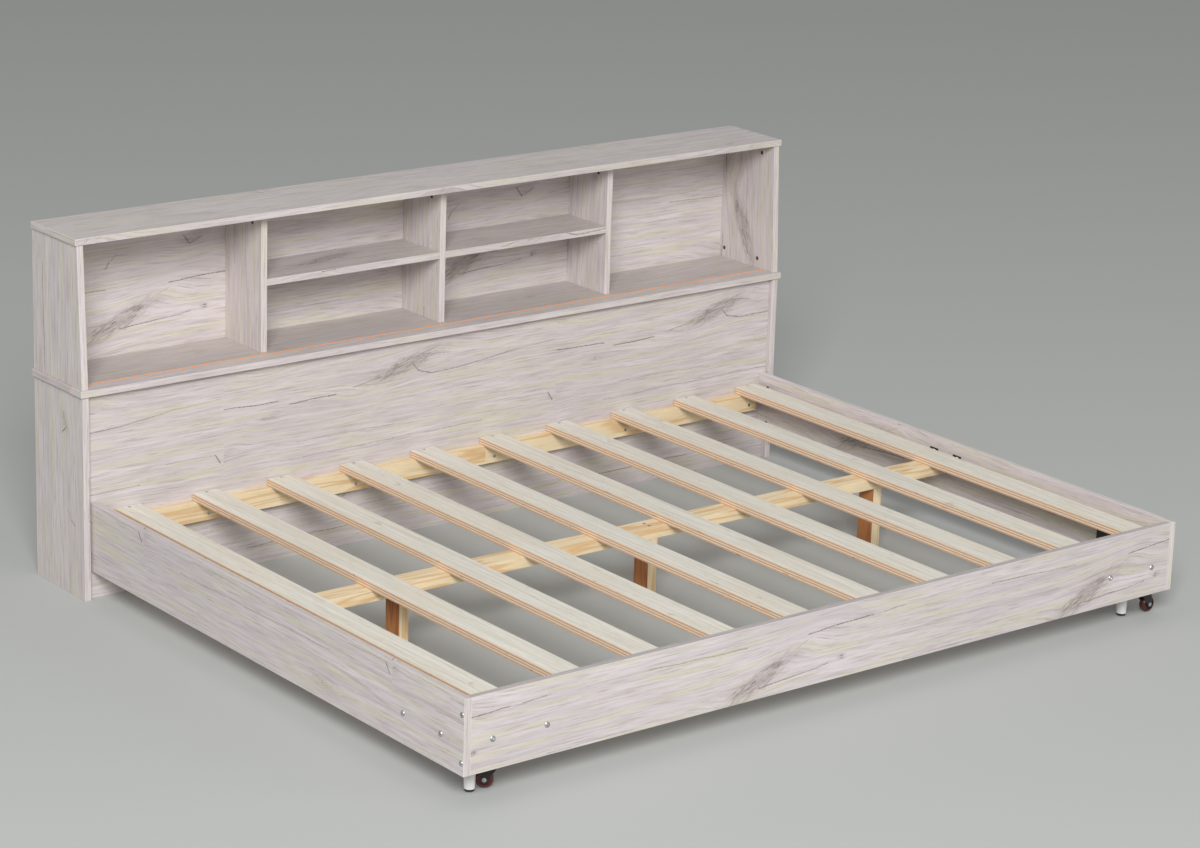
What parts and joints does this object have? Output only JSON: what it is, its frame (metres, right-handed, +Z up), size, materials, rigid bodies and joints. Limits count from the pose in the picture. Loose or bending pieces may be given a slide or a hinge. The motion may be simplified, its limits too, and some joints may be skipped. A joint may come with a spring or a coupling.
{
  "type": "bookcase headboard bed",
  "caption": "Low platform bed on slats, joined along its long side to an open bookcase headboard with adjustable shelves, levelling feet and casters.",
  "frame": {"origin": "on the floor, in the middle of the whole bed's footprint", "axes": "+X to the right along the headboard as seen from the foot rail, +Y from the foot rail towards the headboard, +Z up"},
  "size_m": [2.012, 1.6216, 0.825],
  "materials": {
    "oak_laminate": "satin printed laminate, whitewashed oak",
    "back_board": "matte printed laminate on thin fibreboard",
    "slat_ply": "raw sanded plywood",
    "pine": "raw planed pine",
    "zinc_steel": "zinc-plated",
    "cam_metal": "dark zinc casting",
    "black_steel": "black powder coat",
    "wheel_plastic": "dark maroon moulding",
    "white_plastic": "white moulding",
    "dark_rubber": "matte"
  },
  "bodies": {
    "bed_frame": {"beam_hangers": "black_steel", "beam_leg_1": "pine", "beam_leg_2": "pine", "beam_leg_3": "pine", "bracket_bolts": "zinc_steel", "cam_dowels": "zinc_steel", "cam_locks": "cam_metal", "caster_plate_left": "black_steel", "caster_plate_right": "black_steel", "centre_beam": "pine", "corner_bracket_left": "black_steel", "corner_bracket_right": "black_steel", "corner_screws": "zinc_steel", "divider_centre": "oak_laminate", "divider_left": "oak_laminate", "divider_right": "oak_laminate", "foot_ledger": "pine", "foot_rail": "oak_laminate", "front_panel": "oak_laminate", "hanger_screws": "zinc_steel", "head_ledger_left": "pine", "head_ledger_right": "pine", "leg_screws": "zinc_steel", "lower_back_panel": "back_board", "lower_end_left": "oak_laminate", "lower_end_right": "oak_laminate", "lower_partitions": "oak_laminate", "mid_board": "oak_laminate", "shelf_pins": "zinc_steel", "side_rail_left": "oak_laminate", "side_rail_right": "oak_laminate", "slat_01": "slat_ply", "slat_02": "slat_ply", "slat_03": "slat_ply", "slat_04": "slat_ply", "slat_05": "slat_ply", "slat_06": "slat_ply", "slat_07": "slat_ply", "slat_08": "slat_ply", "slat_09": "slat_ply", "slat_10": "slat_ply", "top_panel": "oak_laminate", "upper_back_panel": "back_board", "upper_end_left": "oak_laminate", "upper_end_right": "oak_laminate", "wood_screws": "zinc_steel"},
    "shelf_left": {"shelf_left": "oak_laminate"},
    "levelling_foot_left": {"foot_stem_left": "zinc_steel", "foot_cup_left": "white_plastic", "foot_pad_left": "dark_rubber"},
    "caster_swivel_left": {"caster_fork_left": "black_steel", "caster_axle_left": "zinc_steel"},
    "wheel_left": {"caster_wheel_left": "wheel_plastic"},
    "shelf_right": {"shelf_right": "oak_laminate"},
    "levelling_foot_right": {"foot_stem_right": "zinc_steel", "foot_cup_right": "white_plastic", "foot_pad_right": "dark_rubber"},
    "caster_swivel_right": {"caster_fork_right": "black_steel", "caster_axle_right": "zinc_steel"},
    "wheel_right": {"caster_wheel_right": "wheel_plastic"}
  },
  "joints": [
    {"name": "shelf_left_pull", "type": "slide", "parent": "bed_frame", "child": "shelf_left", "axis": [0, -1, 0], "range_m": [0, 0.15]},
    {"name": "foot_left_screw", "type": "slide", "parent": "bed_frame", "child": "levelling_foot_left", "axis": [0, 0, 1], "range_m": [0, 0.01]},
    {"name": "caster_left_swivel", "type": "hinge", "parent": "bed_frame", "child": "caster_swivel_left", "pos_m": [-0.867, -0.75525, 0.062], "axis": [0, 0, 1], "continuous": true},
    {"name": "wheel_left_spin", "type": "hinge", "parent": "caster_swivel_left", "child": "wheel_left", "pos_m": [-0.88118, -0.74417, 0.02], "axis": [-0.6157, -0.788, 0], "continuous": true},
    {"name": "shelf_right_pull", "type": "slide", "parent": "bed_frame", "child": "shelf_right", "axis": [0, -1, 0], "range_m": [0, 0.15]},
    {"name": "foot_right_screw", "type": "slide", "parent": "bed_frame", "child": "levelling_foot_right", "axis": [0, 0, 1], "range_m": [0, 0.01]},
    {"name": "caster_right_swivel", "type": "hinge", "parent": "bed_frame", "child": "caster_swivel_right", "pos_m": [0.945, -0.75525, 0.062], "axis": [0, 0, 1], "continuous": true},
    {"name": "wheel_right_spin", "type": "hinge", "parent": "caster_swivel_right", "child": "wheel_right", "pos_m": [0.963, -0.75525, 0.02], "axis": [0, 1, 0], "continuous": true}
  ]
}
